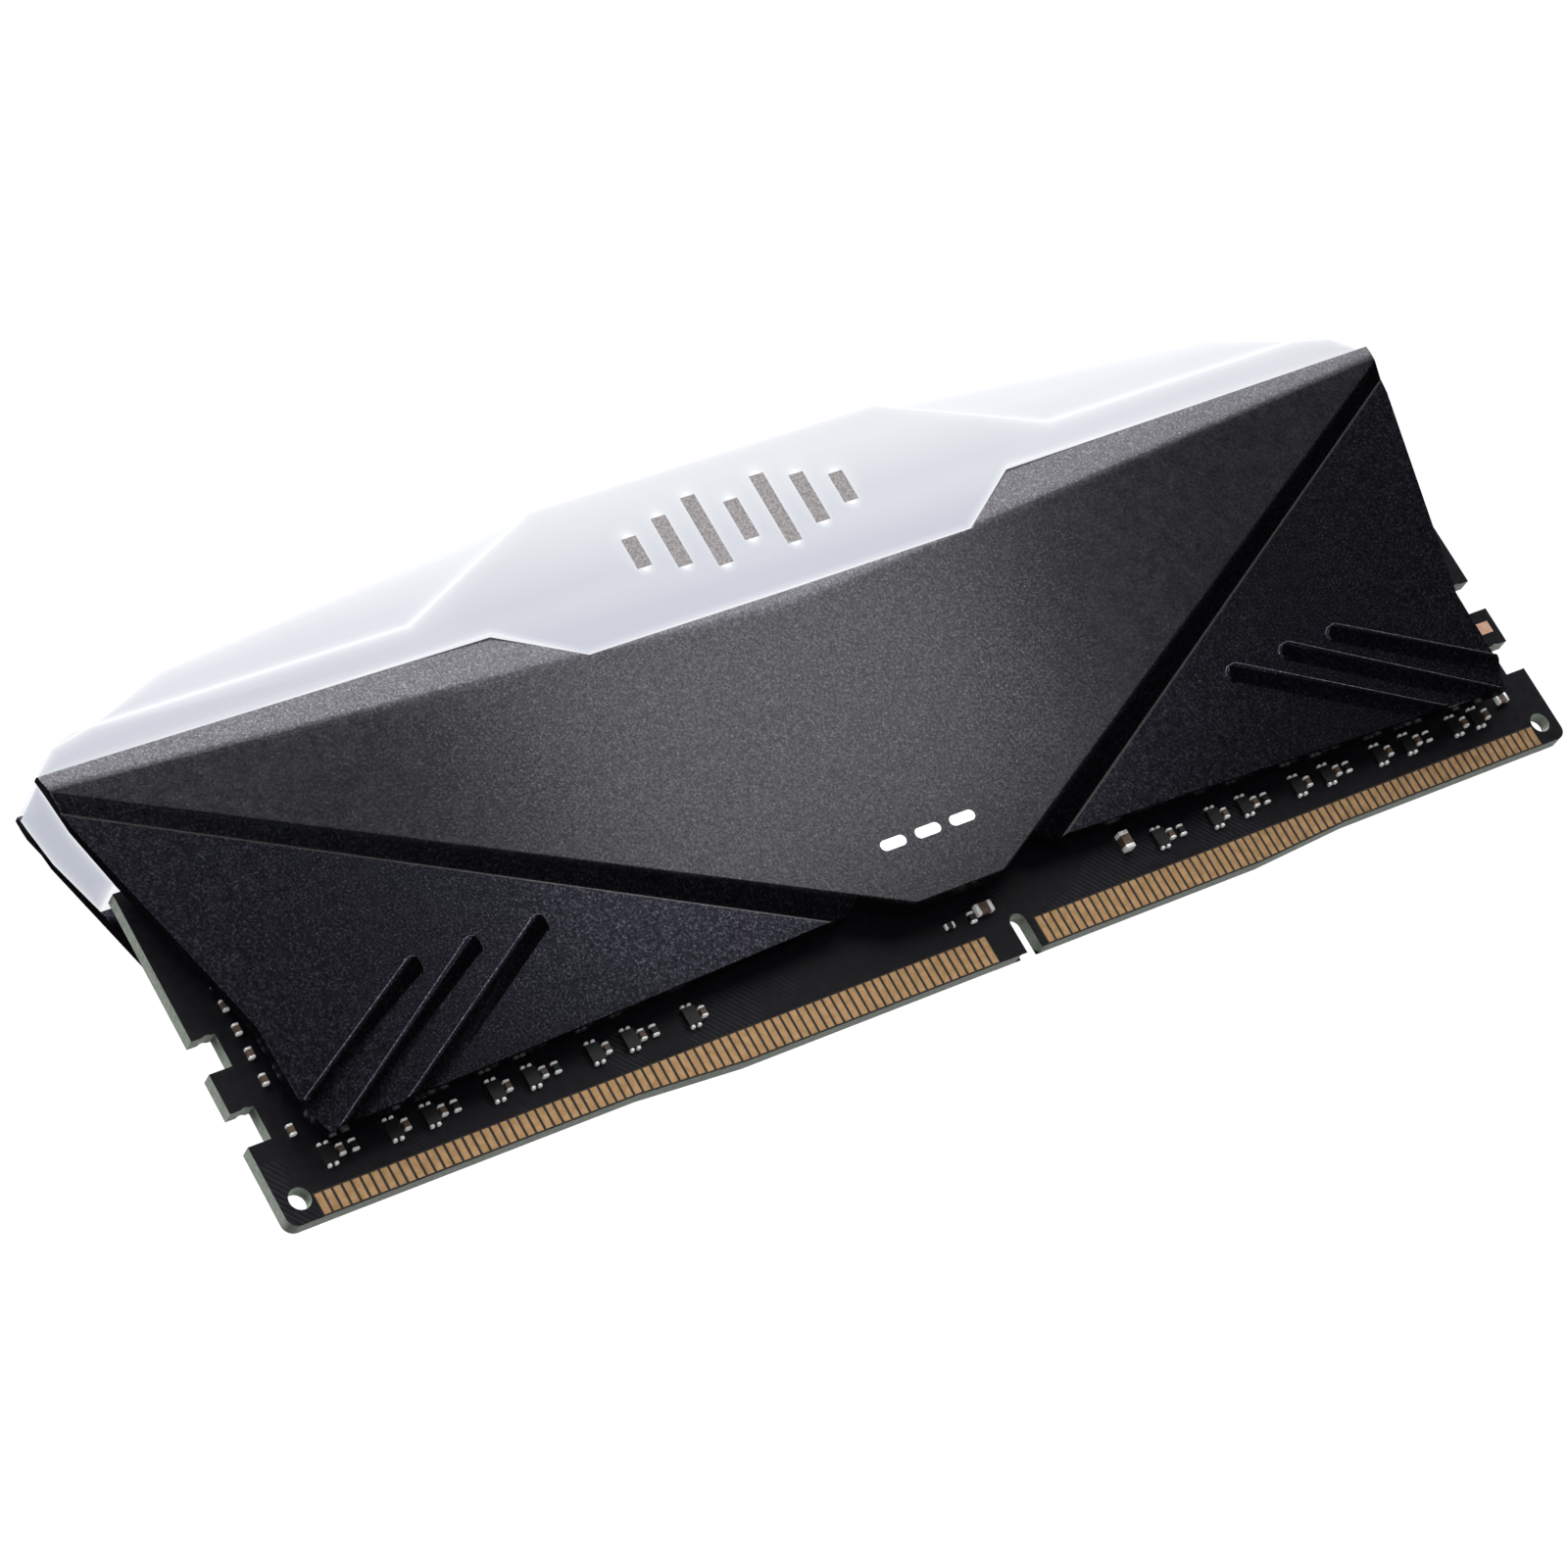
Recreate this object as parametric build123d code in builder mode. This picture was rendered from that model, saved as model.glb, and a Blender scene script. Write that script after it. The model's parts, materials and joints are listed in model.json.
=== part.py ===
from build123d import *
import os

os.makedirs("parts", exist_ok=True)

# A desktop memory module with heat spreaders and a lit top bar.
# X runs along the module, the front faces -Y, and Z = 0 is the lowest part of the contact edge.
# "Depth" is always measured out from the board's middle plane, along -Y on the front.

# ---- circuit board (standard 288-contact outline) ----
board_length = 133.35
board_height = 31.25
board_thickness = 1.40
board_corner_top = 0.6
board_corner_bottom = 1.0
edge_rise = 0.65            # how far the outer stretches of the contact edge stand above the middle
edge_slope_run = 10.2
edge_flat_left = -24.2
edge_flat_right = 30.2
tooling_hole_r = 0.95
tooling_hole_inset = 1.83
tooling_hole_z = 2.70
latch_notch_depth = 2.1
latch_notch_height = 3.0
latch_notch_zs = (9.5, 16.1)
latch_relief_r = 0.75
latch_relief_bulge = 0.12
key_x = 5.3
key_width = 1.6
key_height = 3.55
key_mouth_r = 0.8
mask_thickness = 0.03
mask_bottom = 2.75          # the mask stops just above the contacts
mask_side_margin = 0.12     # and just beside the first and last of each row

# ---- contacts ----
pad_pitch = 0.85
pad_width = 0.60
pad_thickness = 0.035
pad_top = 2.60
pad_margin = 0.15           # bare board below each contact
end_to_outer_pad = 3.35      # from the board's end to the middle of the outermost contact
key_to_left_pad = 4.025      # from the middle of the key notch to the nearest contacts
key_to_right_pad = 1.925

# ---- chips ----
chip_width = 7.5
chip_height = 11.0
chip_thickness = 1.1
chip_drop = 12.85           # from the board's top down to the middle of the chips
chip_end_room = 16.525      # bare board beyond the outermost chip
chips_per_side = 8
chip_middle_gap = 6.0       # extra room for the small logic in the middle
settings_chip_size = (3.0, 2.0, 0.55)
settings_chip_rise = 3.0    # above the middle of the memory chips
controller_size = (4.0, 4.0, 0.85)
controller_rise = 8.5
thermal_pad_thickness = 0.37
thermal_pad_margin = 1.5
thermal_pad_corner_r = 1.0
pad_gap = 0.05              # air between the thermal pad and the spreader
led_count = 10
led_end_room = 9.075
led_size = (2.0, 1.3, 0.8)

# ---- heat spreaders: thicknesses in from the raised panel, heights up from the board's top ----
panel_thickness = 1.65
wing_thickness = 0.85       # on the centre line, if the wings reached it
wing_tilt = 0.005           # depth gained for each millimetre outwards
flare_offset = 0.65         # the inner face steps out this far to make room for the light bar
flare_rise = 8.75
flare_height = 9.0
spreader_overhang = 2.425   # beyond each end of the board
tip_rise = 10.15
side_top_rise = 5.25
side_top_inset = 0.7        # insets are measured in from the spreader's tips
side_kink_inset = 6.6
side_kink_z = 16.0
side_foot_inset = 6.8
side_foot_z = 9.4
wing_corner_inset = 7.8
wing_corner_z = 5.9
wing_inner_x = 10.5
wing_inner_z = 7.7
panel_corner_x = 9.2
panel_corner_z = 8.7
panel_tip_x = 5.0
panel_tip_z = 6.4
window_x = 20.0             # half length of the window for the light bar
window_rise = 5.25
shoulder_x = 27.0
shoulder_rise = 9.75
shoulder_drop = 0.7         # the bevel above the crease has fallen back this far at the shoulder
crease_end_rise = 8.75
rim_end_inset = 0.2
rim_end_rise = 8.45
rim_slope_width_top = 1.5
rim_slope_width_bottom = 2.3
rim_round_r = 1.0
groove_depth = 0.12         # the slope below the rim ends this far under the wing's face
crease_round_r = 7.0

# ---- ribs on the wings ----
rib_start_insets = ((32.9, 17.1), (26.7, 17.3), (21.2, 17.35))
rib_end_insets = ((14.9, 6.3), (7.7, 5.55), (6.8, 9.0))
rib_height = 0.6
rib_flat_width = 0.5
rib_ramp_width = 1.2
rib_sink = 0.4
rib_overrun = 3.0
rib_end_share = 0.45

# ---- light bar ----
bar_gap = 0.05
bar_panel_inset = 0.3       # how far its faces lie behind the spreader's raised panel
bar_strip_end_inset = 1.1
bar_facet_top_inset = 1.7
bar_rise = 19.25
bar_top_x = 20.5
bar_knee_inset = 14.4
bar_knee_rise = 16.15
bar_shoulder_inset = 6.6
bar_shoulder_rise = 13.15
bar_crease_low_x = 33.4
bar_crease_low_rise = 12.75
bar_crease_high_x = 18.2
bar_crease_high_drop = 0.1
bar_end_round_x = 2.6
bar_end_round_z = 2.2
led_channel_width = 2.0
led_channel_height = 2.2
led_channel_end_room = 1.0
cut_room = 1.0

# ---- marks ----
emblem_bar_width = 1.5
emblem_pitch = 3.6
emblem_heights = (3.0, 5.0, 7.0, 4.0, 7.0, 5.0, 3.0)
emblem_rise = 12.75
emblem_thickness = 0.08
badge_width = 2.6
badge_height = 1.0
badge_pitch = 3.6
badge_count = 3
badge_z = 12.0
badge_thickness = 0.05

# ---- small parts above the contacts, measured in from the board's ends ----
group_pitch = 9.45
left_group_inset = 11.525
left_group_count = 3
right_group_inset = 38.475
right_group_count = 3
second_array_offset = 3.4
left_edge_array_inset = 5.575
left_last_array_inset = 39.775
right_edge_array_inset = 44.525
last_array_insets = (10.6, 8.0)
small_z = 5.15
array_size = (1.25, 1.55, 0.45)
capacitor_size = (0.5, 1.0, 0.45)
capacitor_offset = 1.15
resistor_size = (0.55, 1.05, 0.35)
resistor_offset = 2.35
terminal_share = 0.24       # part of a two-ended part's length that each metal end covers
terminal_proud = 0.02
array_terminal_size = (0.32, 0.3, 0.4)
array_terminal_pitch = 0.62
tall_cap_size = (0.9, 1.7, 0.9)
tall_cap_inset = 48.05
tall_cap_z = 5.9
end_cap_size = (0.8, 1.25, 0.5)
end_cap_inset = 4.4
end_cap_z = 5.95
key_cap_size = (1.0, 1.7, 0.55)
key_cap_place = (2.75, 4.85)
key_resistor_place = (1.35, 4.5)
key_bead_size = (0.5, 0.95, 0.35)
key_bead_place = (-1.0, 4.5)
side_part_inset = 3.775
side_part_zs = (8.0, 12.6, 15.0, 17.2, 19.4, 21.6)
ground_pad_size = (1.35, 1.15)
ground_pad_inset = 1.375
ground_pad_z = 12.85

# ---- worked out from the sizes above ----
half_length = board_length / 2
half_board = board_thickness / 2
board_top = board_height
outer_pad_x = half_length - end_to_outer_pad
left_pad_count = 1 + round((outer_pad_x + key_x - key_to_left_pad) / pad_pitch)
right_pad_count = 1 + round((outer_pad_x - key_x - key_to_right_pad) / pad_pitch)
left_first_x = -outer_pad_x
right_first_x = outer_pad_x - (right_pad_count - 1) * pad_pitch
mask_depth = half_board + mask_thickness
chip_lid_depth = mask_depth + chip_thickness
chip_z = board_top - chip_drop
half_count = chips_per_side / 2
outer_chip_x = half_length - chip_end_room - chip_width / 2
chip_pitch = (outer_chip_x - chip_middle_gap / 2) / (half_count - 0.5)
led_pitch = (board_length - 2 * led_end_room) / (led_count - 1)
spreader_inner_depth = chip_lid_depth + thermal_pad_thickness + pad_gap
spreader_inner_top_depth = spreader_inner_depth + flare_offset
spreader_flare_z = board_top + flare_rise
panel_depth = spreader_inner_depth + panel_thickness
wing_depth = spreader_inner_depth + wing_thickness
shoulder_depth = panel_depth - shoulder_drop
tip_x = half_length + spreader_overhang
tip_z = board_top + tip_rise
side_top_x = tip_x - side_top_inset
side_top_z = board_top + side_top_rise
side_kink_x = tip_x - side_kink_inset
side_foot_x = tip_x - side_foot_inset
wing_corner_x = tip_x - wing_corner_inset
window_z = board_top + window_rise
shoulder_z = board_top + shoulder_rise
crease_end_z = board_top + crease_end_rise
rim_end_x = tip_x - rim_end_inset
rim_end_z = board_top + rim_end_rise
rib_starts = [(tip_x - inset, z) for inset, z in rib_start_insets]
rib_ends = [(tip_x - inset, z) for inset, z in rib_end_insets]
bar_bottom_z = board_top + bar_gap
bar_side_slope = (side_top_x - side_kink_x) / (side_top_z - side_kink_z)
bar_bottom_x = side_top_x - bar_side_slope * (side_top_z - bar_bottom_z)
bar_top_z = board_top + bar_rise
bar_panel_depth = panel_depth - bar_panel_inset
bar_strip_end_depth = panel_depth - bar_strip_end_inset
bar_facet_top_depth = panel_depth - bar_facet_top_inset
bar_knee_x = tip_x - bar_knee_inset
bar_knee_z = board_top + bar_knee_rise
bar_shoulder_x = tip_x - bar_shoulder_inset
bar_shoulder_z = board_top + bar_shoulder_rise
bar_crease_low = (bar_crease_low_x, board_top + bar_crease_low_rise)
bar_crease_high = (bar_crease_high_x, bar_top_z - bar_crease_high_drop)
emblem_z = board_top + emblem_rise
led_channel_length = (led_count - 1) * led_pitch / 2 + led_size[0] / 2 + led_channel_end_room


def wing_face_depth(x):
    """Depth of a wing's flat face at a distance x from the centre line."""
    return wing_depth + wing_tilt * x


def bar_strip_depth(x):
    """Depth of the light bar's low strip, which falls back towards the ends."""
    share = (x - shoulder_x) / (tip_x - shoulder_x)
    return bar_panel_depth + (bar_strip_end_depth - bar_panel_depth) * share


def front_point(x, depth, z):
    return Vector(x, -depth, z)


def face_plane(a, b, c):
    """The plane through three points, facing out of the front (towards -Y)."""
    normal = (b - a).cross(c - a)
    if normal.Y > 0:
        normal = normal * -1
    return Plane(origin=a, x_dir=b - a, z_dir=normal)


def board_edge_z(x):
    """Height of the board's contact edge at x."""
    outside = max(edge_flat_left - x, x - edge_flat_right, 0)
    return edge_rise * min(outside / edge_slope_run, 1)


def back_copy(front):
    """The same piece turned half a turn about Z, for the back of the module."""
    return front.part.rotate(Axis.Z, 180)


def finish(piece, name):
    """Label a piece and write it."""
    piece.part.label = name
    export_step(piece.part, "parts/" + name + ".step")


# ---- the board: laminate with latch notches, key notch and tooling holes ----
with BuildSketch() as board_face:
    with BuildLine():
        Polyline(
            (-half_length, board_top),
            (-half_length, edge_rise),
            (edge_flat_left - edge_slope_run, edge_rise),
            (edge_flat_left, 0),
            (edge_flat_right, 0),
            (edge_flat_right + edge_slope_run, edge_rise),
            (half_length, edge_rise),
            (half_length, board_top),
            close=True,
        )
    make_face()
    outer_corners = board_face.vertices().group_by(Axis.X)[0] + board_face.vertices().group_by(Axis.X)[-1]
    fillet(outer_corners.group_by(Axis.Y)[0], board_corner_bottom)
    fillet(outer_corners.group_by(Axis.Y)[-1], board_corner_top)
    for side in (-1, 1):
        for z in latch_notch_zs:
            with Locations((side * half_length, z)):
                Rectangle(2 * latch_notch_depth, latch_notch_height, mode=Mode.SUBTRACT)
            relief_x = side * (half_length - latch_notch_depth + latch_relief_r)
            relief_z = z + latch_notch_height / 2 + latch_relief_bulge - latch_relief_r
            with Locations((relief_x, relief_z)):
                Circle(latch_relief_r, mode=Mode.SUBTRACT)
        with Locations((side * (half_length - tooling_hole_inset), tooling_hole_z)):
            Circle(tooling_hole_r, mode=Mode.SUBTRACT)
    with Locations((key_x, (key_height - key_width / 2) / 2)):
        Rectangle(key_width, key_height - key_width / 2, mode=Mode.SUBTRACT)
    with Locations((key_x, key_height - key_width / 2)):
        Circle(key_width / 2, mode=Mode.SUBTRACT)

with BuildPart() as circuit_board:
    with BuildSketch(Plane.XZ):
        add(board_face.sketch_local)
    extrude(amount=half_board, both=True)
    key_mouth = [
        edge for edge in circuit_board.edges().filter_by(Axis.Y)
        if abs(abs(edge.center().X - key_x) - key_width / 2) < 0.01 and edge.center().Z < 0.01
    ]
    fillet(key_mouth, key_mouth_r)
finish(circuit_board, "circuit_board")

with BuildPart() as solder_mask_front:
    with BuildSketch(Plane.XZ.offset(half_board)):
        add(board_face.sketch_local)
        for row_x, row_count in ((left_first_x, left_pad_count), (right_first_x, right_pad_count)):
            window_length = (row_count - 1) * pad_pitch + pad_width + 2 * mask_side_margin
            window_middle = row_x + (row_count - 1) * pad_pitch / 2
            with Locations((window_middle, mask_bottom)):
                Rectangle(
                    window_length,
                    2 * mask_bottom,
                    align=(Align.CENTER, Align.MAX),
                    mode=Mode.SUBTRACT,
                )
    extrude(amount=mask_thickness)
finish(solder_mask_front, "solder_mask_front")

with BuildPart() as solder_mask_rear:
    add(mirror(solder_mask_front.part, about=Plane.XZ))
finish(solder_mask_rear, "solder_mask_rear")


# ---- contacts: one flat gold pad for each pin, following the sloped edge ----
def contact_row(first_x, count):
    with BuildPart() as row:
        with BuildSketch(Plane.XZ.offset(half_board)):
            for index in range(count):
                x = first_x + index * pad_pitch
                low = board_edge_z(x) + pad_margin
                with Locations((x, (pad_top + low) / 2)):
                    Rectangle(pad_width, pad_top - low)
        extrude(amount=pad_thickness)
    return row


for side_name, row_x, row_count in (
    ("left", left_first_x, left_pad_count),
    ("right", right_first_x, right_pad_count),
):
    contacts_front = contact_row(row_x, row_count)
    finish(contacts_front, "contacts_front_" + side_name)
    with BuildPart() as contacts_rear:
        add(mirror(contacts_front.part, about=Plane.XZ))
    finish(contacts_rear, "contacts_rear_" + side_name)


# ---- a bare copper pad on the tab between the right-hand latch notches ----
with BuildPart() as ground_pad:
    with BuildSketch(Plane.XZ.offset(mask_depth)):
        with Locations((half_length - ground_pad_inset, ground_pad_z)):
            Rectangle(ground_pad_size[0], ground_pad_size[1])
    extrude(amount=pad_thickness)
finish(ground_pad, "ground_pad")

# ---- memory chips, in two runs of four on each face ----
def chip_x(index):
    side = -1 if index < half_count else 1
    return (index - half_count + 0.5) * chip_pitch + side * chip_middle_gap / 2


for index in range(chips_per_side):
    with BuildPart() as memory_chip:
        with BuildSketch(Plane.XZ.offset(mask_depth)):
            with Locations((chip_x(index), chip_z)):
                Rectangle(chip_width, chip_height)
        extrude(amount=chip_thickness)
    finish(memory_chip, "memory_chip_front_" + str(index + 1))
    with BuildPart() as memory_chip_rear:
        add(mirror(memory_chip.part, about=Plane.XZ))
    finish(memory_chip_rear, "memory_chip_rear_" + str(index + 1))

with BuildPart() as settings_chip:
    with BuildSketch(Plane.XZ.offset(mask_depth)):
        with Locations((0, chip_z + settings_chip_rise)):
            Rectangle(settings_chip_size[0], settings_chip_size[1])
    extrude(amount=settings_chip_size[2])
finish(settings_chip, "settings_chip")

with BuildPart() as light_controller:
    with BuildSketch(Plane.XZ.offset(mask_depth)):
        with Locations((0, chip_z + controller_rise)):
            Rectangle(controller_size[0], controller_size[1])
    extrude(amount=controller_size[2])
finish(light_controller, "light_controller")

# ---- thermal pads between the chips and the spreaders ----
thermal_pad_length = 2 * (outer_chip_x + chip_width / 2 + thermal_pad_margin)
thermal_pad_height = chip_height + 2 * thermal_pad_margin
with BuildPart() as thermal_pad_front:
    with BuildSketch(Plane.XZ.offset(chip_lid_depth)):
        with Locations((0, chip_z)):
            RectangleRounded(thermal_pad_length, thermal_pad_height, thermal_pad_corner_r)
    extrude(amount=thermal_pad_thickness)
finish(thermal_pad_front, "thermal_pad_front")

with BuildPart() as thermal_pad_rear:
    add(back_copy(thermal_pad_front))
finish(thermal_pad_rear, "thermal_pad_rear")

# ---- lamps on the board's top edge ----
for index in range(led_count):
    led_x = (index - (led_count - 1) / 2) * led_pitch
    with BuildPart() as lamp:
        with BuildSketch(Plane.XY.offset(board_top)):
            with Locations((led_x, 0)):
                Rectangle(led_size[0], led_size[1])
        extrude(amount=led_size[2])
    finish(lamp, "lamp_" + str(index + 1))


# ---- small two-ended parts and resistor arrays above the contacts ----
def two_ended_parts(places, size, lying=False):
    """Bodies and metal ends of small parts, upright or lying along X, each place an (x, z) centre."""
    width, length, depth = size
    end_length = length * terminal_share
    body_length = length - 2 * end_length
    reach = (length - end_length) / 2
    turn = 90 if lying else 0
    end_steps = [(reach, 0), (-reach, 0)] if lying else [(0, reach), (0, -reach)]
    with BuildPart() as bodies:
        with BuildSketch(Plane.XZ.offset(mask_depth)):
            with Locations(*places):
                Rectangle(width, body_length, rotation=turn)
        extrude(amount=depth)
    end_places = [(x + step_x, z + step_z) for x, z in places for step_x, step_z in end_steps]
    with BuildPart() as ends:
        with BuildSketch(Plane.XZ.offset(mask_depth)):
            with Locations(*end_places):
                Rectangle(width + 2 * terminal_proud, end_length, rotation=turn)
        extrude(amount=depth + terminal_proud)
    return bodies, ends


group_xs = [left_group_inset + group_pitch * i - half_length for i in range(left_group_count)]
group_xs += [half_length - right_group_inset + group_pitch * i for i in range(right_group_count)]
array_xs = [left_edge_array_inset - half_length, half_length - right_edge_array_inset]
resistor_xs = [x + resistor_offset for x in array_xs]
for group_x in group_xs:
    array_xs += [group_x, group_x + second_array_offset]
    resistor_xs.append(group_x + second_array_offset + resistor_offset)
array_xs.append(left_last_array_inset - half_length)
array_xs += [half_length - inset for inset in last_array_insets]
array_places = [(x, small_z) for x in array_xs]
capacitor_places = [(x + capacitor_offset, small_z) for x in array_xs]
capacitor_places += [(side_part_inset - half_length, z) for z in side_part_zs]
resistor_places = [(x, small_z) for x in resistor_xs] + [key_resistor_place]
tall_cap_place = (half_length - tall_cap_inset, tall_cap_z)
end_cap_place = (half_length - end_cap_inset, end_cap_z)

with BuildPart() as resistor_arrays_front:
    with BuildSketch(Plane.XZ.offset(mask_depth)):
        with Locations(*array_places):
            Rectangle(array_size[0], array_size[1])
    extrude(amount=array_size[2])

array_end_places = [
    (x + column * array_terminal_pitch / 2, z + side * (array_size[1] + array_terminal_size[1]) / 2)
    for x, z in array_places for column in (-1, 1) for side in (-1, 1)
]
with BuildPart() as array_ends_front:
    with BuildSketch(Plane.XZ.offset(mask_depth)):
        with Locations(*array_end_places):
            Rectangle(array_terminal_size[0], array_terminal_size[1])
    extrude(amount=array_terminal_size[2])

capacitors_front, capacitor_ends_front = two_ended_parts(capacitor_places, capacitor_size)
resistors_front, resistor_ends_front = two_ended_parts(resistor_places, resistor_size)
tall_capacitor, tall_capacitor_ends = two_ended_parts([tall_cap_place], tall_cap_size)
key_capacitor, key_capacitor_ends = two_ended_parts([key_cap_place], key_cap_size, lying=True)
end_capacitor, end_capacitor_ends = two_ended_parts([end_cap_place], end_cap_size, lying=True)
key_bead, key_bead_ends = two_ended_parts([key_bead_place], key_bead_size, lying=True)

finish(resistor_arrays_front, "resistor_arrays_front")
finish(array_ends_front, "resistor_array_ends_front")
finish(capacitors_front, "capacitors_front")
finish(capacitor_ends_front, "capacitor_ends_front")
finish(resistors_front, "resistors_front")
finish(resistor_ends_front, "resistor_ends_front")
finish(tall_capacitor, "tall_capacitor")
finish(tall_capacitor_ends, "tall_capacitor_ends")
finish(key_capacitor, "key_capacitor")
finish(key_capacitor_ends, "key_capacitor_ends")
finish(key_bead, "key_bead")
finish(key_bead_ends, "key_bead_ends")
finish(end_capacitor, "end_capacitor")
finish(end_capacitor_ends, "end_capacitor_ends")


# ---- marks, let in flush: upright bars on the light bar, three small lozenges on each panel ----
with BuildSketch() as emblem_face:
    for index, height in enumerate(emblem_heights):
        with Locations(((index - (len(emblem_heights) - 1) / 2) * emblem_pitch, emblem_z)):
            Rectangle(emblem_bar_width, height)

with BuildSketch() as badge_face:
    with Locations((0, badge_z)):
        with GridLocations(badge_pitch, 0, badge_count, 1):
            SlotOverall(badge_width, badge_height)

with BuildPart() as emblem_front:
    with BuildSketch(Plane.XZ.offset(bar_panel_depth)):
        add(emblem_face.sketch_local)
    extrude(amount=-emblem_thickness)
finish(emblem_front, "emblem_front")

with BuildPart() as emblem_rear:
    add(back_copy(emblem_front))
finish(emblem_rear, "emblem_rear")

with BuildPart() as badge_front:
    with BuildSketch(Plane.XZ.offset(panel_depth)):
        add(badge_face.sketch_local)
    extrude(amount=-badge_thickness)
finish(badge_front, "badge_front")

with BuildPart() as badge_rear:
    add(back_copy(badge_front))
finish(badge_rear, "badge_rear")

# ---- heat spreader: a panel raised above two wings, made as a right half and mirrored ----
with BuildSketch() as spreader_face:
    with BuildLine():
        Polyline(
            (0, window_z),
            (window_x, window_z),
            (shoulder_x, shoulder_z),
            (tip_x, tip_z),
            (side_top_x, side_top_z),
            (side_kink_x, side_kink_z),
            (side_foot_x, side_foot_z),
            (wing_corner_x, wing_corner_z),
            (wing_inner_x, wing_inner_z),
            (panel_corner_x, panel_corner_z),
            (panel_tip_x, panel_tip_z),
            (0, panel_tip_z),
            close=True,
        )
    make_face()

wing_plane = face_plane(
    front_point(0, wing_face_depth(0), 0),
    front_point(tip_x, wing_face_depth(tip_x), 0),
    front_point(0, wing_face_depth(0), tip_z),
)

bevel_plane = face_plane(
    front_point(rim_end_x, panel_depth, crease_end_z),
    front_point(window_x, panel_depth, window_z),
    front_point(shoulder_x, shoulder_depth, shoulder_z),
)

rim_top = front_point(rim_end_x, panel_depth, rim_end_z)
rim_bottom = front_point(panel_corner_x, panel_depth, panel_corner_z)
rim_run = (rim_bottom - rim_top).normalized()
rim_outward = Vector(-rim_run.Z, 0, rim_run.X)
foot_low = front_point(
    panel_corner_x + rim_outward.X * rim_slope_width_bottom,
    wing_face_depth(panel_corner_x) - groove_depth,
    panel_corner_z + rim_outward.Z * rim_slope_width_bottom,
)
foot_high = front_point(
    rim_end_x + rim_outward.X * rim_slope_width_top,
    wing_face_depth(rim_end_x) - groove_depth,
    rim_end_z + rim_outward.Z * rim_slope_width_top,
)
rim_plane = face_plane(rim_top, rim_bottom, (foot_low + foot_high) * 0.5)


def bounded_block(plane, round_r):
    """A wide slab of the panel's thickness, cut by a sloped plane, its long edge rounded."""
    with BuildPart() as block:
        with BuildSketch(Plane.XZ.offset(spreader_inner_depth)):
            Rectangle(4 * board_length, 4 * board_length)
        extrude(amount=panel_thickness)
        split(bisect_by=plane, keep=Keep.BOTTOM)
        face = block.faces().filter_by(Axis.Y).sort_by(Axis.Y)[0]
        sloped = [edge for edge in face.edges() if 0.01 < abs(edge.tangent_at(0.5).Z) < 0.99]
        fillet(sloped, round_r)
    return block.part


with BuildPart() as rim_groove_cut:
    with BuildSketch(Plane.XZ.offset(spreader_inner_depth)):
        Polygon(
            (rim_bottom.X, rim_bottom.Z),
            (rim_top.X, rim_top.Z),
            (foot_high.X, foot_high.Z),
            (foot_low.X, foot_low.Z),
            align=None,
        )
    extrude(amount=2 * panel_thickness)
    split(bisect_by=rim_plane, keep=Keep.TOP)

with BuildPart() as spreader_wing:
    with BuildSketch(Plane.XZ.offset(spreader_inner_depth)):
        add(spreader_face.sketch_local)
    extrude(amount=panel_thickness)
    split(bisect_by=wing_plane, keep=Keep.BOTTOM)
    add(bounded_block(bevel_plane, crease_round_r), mode=Mode.INTERSECT)
    add(rim_groove_cut.part, mode=Mode.SUBTRACT)

with BuildPart() as spreader_panel:
    with BuildSketch(Plane.XZ.offset(spreader_inner_depth)):
        add(spreader_face.sketch_local)
    extrude(amount=panel_thickness)
    add(bounded_block(rim_plane, rim_round_r), mode=Mode.INTERSECT)
    add(bounded_block(bevel_plane, crease_round_r), mode=Mode.INTERSECT)


def rib(start, end):
    """A saw-tooth rib on the right wing: a steep step on its outer side and a ramp inwards."""
    base = front_point(start[0], wing_face_depth(start[0]), start[1])
    tip = front_point(end[0], wing_face_depth(end[0]), end[1])
    frame = Plane(origin=base, x_dir=tip - base, z_dir=wing_plane.z_dir)
    length = (tip - base).length + rib_overrun
    width = rib_flat_width + rib_ramp_width
    inward = 1 if frame.y_dir.Z < 0 else -1
    section = Plane(origin=base, x_dir=frame.y_dir * inward, z_dir=frame.x_dir * inward)
    with BuildPart() as piece:
        with BuildSketch(frame.offset(-rib_sink)):
            with Locations((length / 2, inward * width / 2)):
                RectangleRounded(length, width, width * rib_end_share)
        extrude(amount=rib_sink + rib_height)
        with BuildSketch(section):
            Polygon(
                (0, -rib_sink),
                (0, rib_height),
                (rib_flat_width, rib_height),
                (width, 0),
                (width, -rib_sink),
                align=None,
            )
        extrude(amount=length, both=True, mode=Mode.INTERSECT)
    return piece.part


with BuildPart() as spreader_ribs:
    for rib_start, rib_end in zip(rib_starts, rib_ends):
        add(rib(rib_start, rib_end))
    with BuildSketch(Plane.XZ.offset(spreader_inner_depth)):
        add(spreader_face.sketch_local)
    extrude(amount=2 * panel_thickness, mode=Mode.INTERSECT)

with BuildPart() as heat_spreader_front:
    add(spreader_wing.part)
    add(spreader_panel.part)
    add(spreader_ribs.part)
    with BuildSketch(Plane.YZ):
        Polygon(
            (0, spreader_flare_z - flare_height),
            (-spreader_inner_depth, spreader_flare_z - flare_height),
            (-spreader_inner_top_depth, spreader_flare_z),
            (-spreader_inner_top_depth, bar_top_z),
            (0, bar_top_z),
            align=None,
        )
    extrude(amount=board_length, mode=Mode.SUBTRACT)
    mirror(about=Plane.YZ)
    add(badge_front.part, mode=Mode.SUBTRACT)
finish(heat_spreader_front, "heat_spreader_front")

with BuildPart() as heat_spreader_rear:
    add(back_copy(heat_spreader_front))
finish(heat_spreader_rear, "heat_spreader_rear")

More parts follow.
